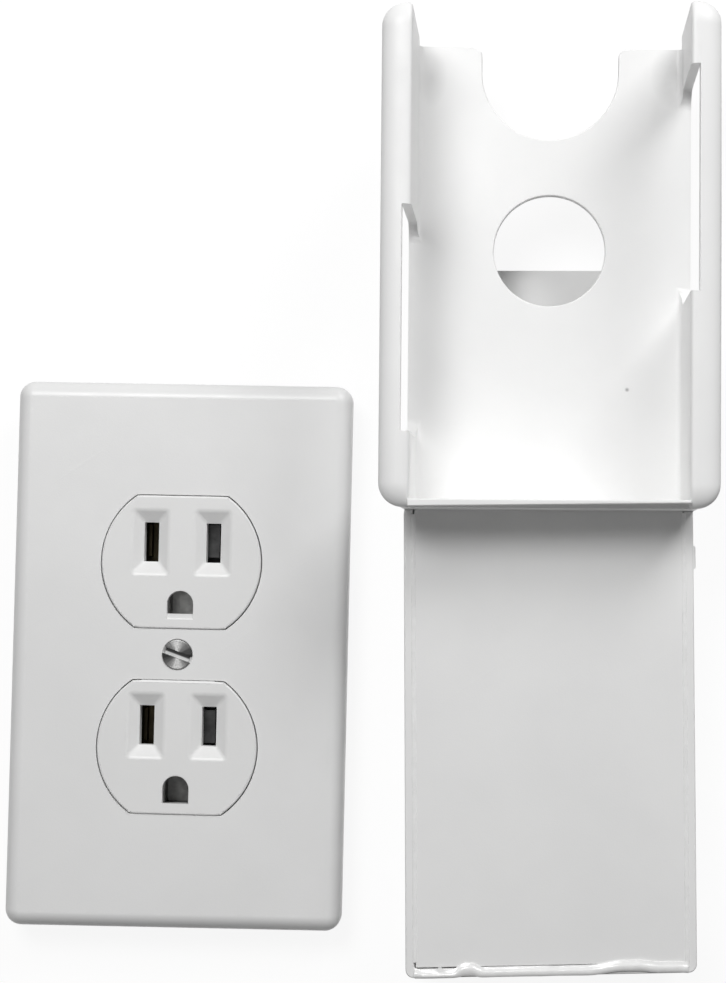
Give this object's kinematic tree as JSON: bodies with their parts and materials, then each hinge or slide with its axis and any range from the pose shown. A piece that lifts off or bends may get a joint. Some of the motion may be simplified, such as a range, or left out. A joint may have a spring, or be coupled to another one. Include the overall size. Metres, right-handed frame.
{
  "type": "outlet diversion safe",
  "caption": "Hidden wall safe: hollow plastic insert with a pocket for a plasterboard wall, and a sham duplex outlet cover that snaps over it.",
  "frame": {"origin": "on the insert's rear face, behind the underside of its ledge, midway across", "axes": "+Z out of the wall towards the room, +Y up along the insert when it is in the wall, +X to the right seen from the room"},
  "size_m": [0.1465, 0.1924, 0.044],
  "materials": {
    "insert_plastic": "white, satin moulded",
    "plate_plastic": "white, semi-gloss",
    "outlet_plastic": "white, semi-gloss",
    "base_plastic": "dark grey thermoset, matte moulded",
    "glue": "milky solvent glue, glossy",
    "screw_steel": "turned, nickel plated",
    "strap_steel": "zinc plated",
    "contact_steel": "dull dark plating",
    "contact_brass": "bare, tarnished"
  },
  "bodies": {
    "insert": {"front_frame": "insert_plastic", "pocket_front_panel": "insert_plastic", "rear_tray": "insert_plastic", "left_glue_seam": "glue", "right_glue_seam": "glue", "bottom_glue_seam": "glue"},
    "receptacle": {"receptacle_face": "outlet_plastic", "receptacle_base": "base_plastic", "ground_strap": "strap_steel", "upper_ground_contact": "contact_brass", "lower_ground_contact": "contact_brass", "upper_strap_rivet": "strap_steel", "lower_strap_rivet": "strap_steel", "neutral_contacts": "contact_brass", "hot_contacts": "contact_steel", "housing_screw_1": "screw_steel", "housing_screw_2": "screw_steel", "housing_screw_3": "screw_steel", "housing_screw_4": "screw_steel"},
    "plate": {"wall_plate": "plate_plastic"},
    "screw": {"plate_screw": "screw_steel"},
    "right_arm": {"right_snap_arm": "base_plastic"},
    "left_arm": {"left_snap_arm": "base_plastic"}
  },
  "joints": [
    {"name": "cover_lift", "type": "slide", "parent": "insert", "child": "receptacle", "axis": [0, 0, 1], "range_m": [0, 0.12]},
    {"name": "plate_lift_off", "type": "slide", "parent": "receptacle", "child": "plate", "axis": [0, 0, 1], "range_m": [0, 0.03]},
    {"name": "screw_turn", "type": "hinge", "parent": "plate", "child": "screw", "pos_m": [-0.077, -0.0294, 0.012], "axis": [0, 0, 1], "continuous": true},
    {"name": "right_arm_flex", "type": "hinge", "parent": "receptacle", "child": "right_arm", "pos_m": [-0.0527, -0.04585, 0.005], "axis": [0, 0, 1], "range_deg": [0, 3], "stiffness_Nm_per_rad": 0.5},
    {"name": "left_arm_flex", "type": "hinge", "parent": "receptacle", "child": "left_arm", "pos_m": [-0.1013, -0.01295, 0.005], "axis": [0, 0, 1], "range_deg": [0, 3], "stiffness_Nm_per_rad": 0.5}
  ]
}
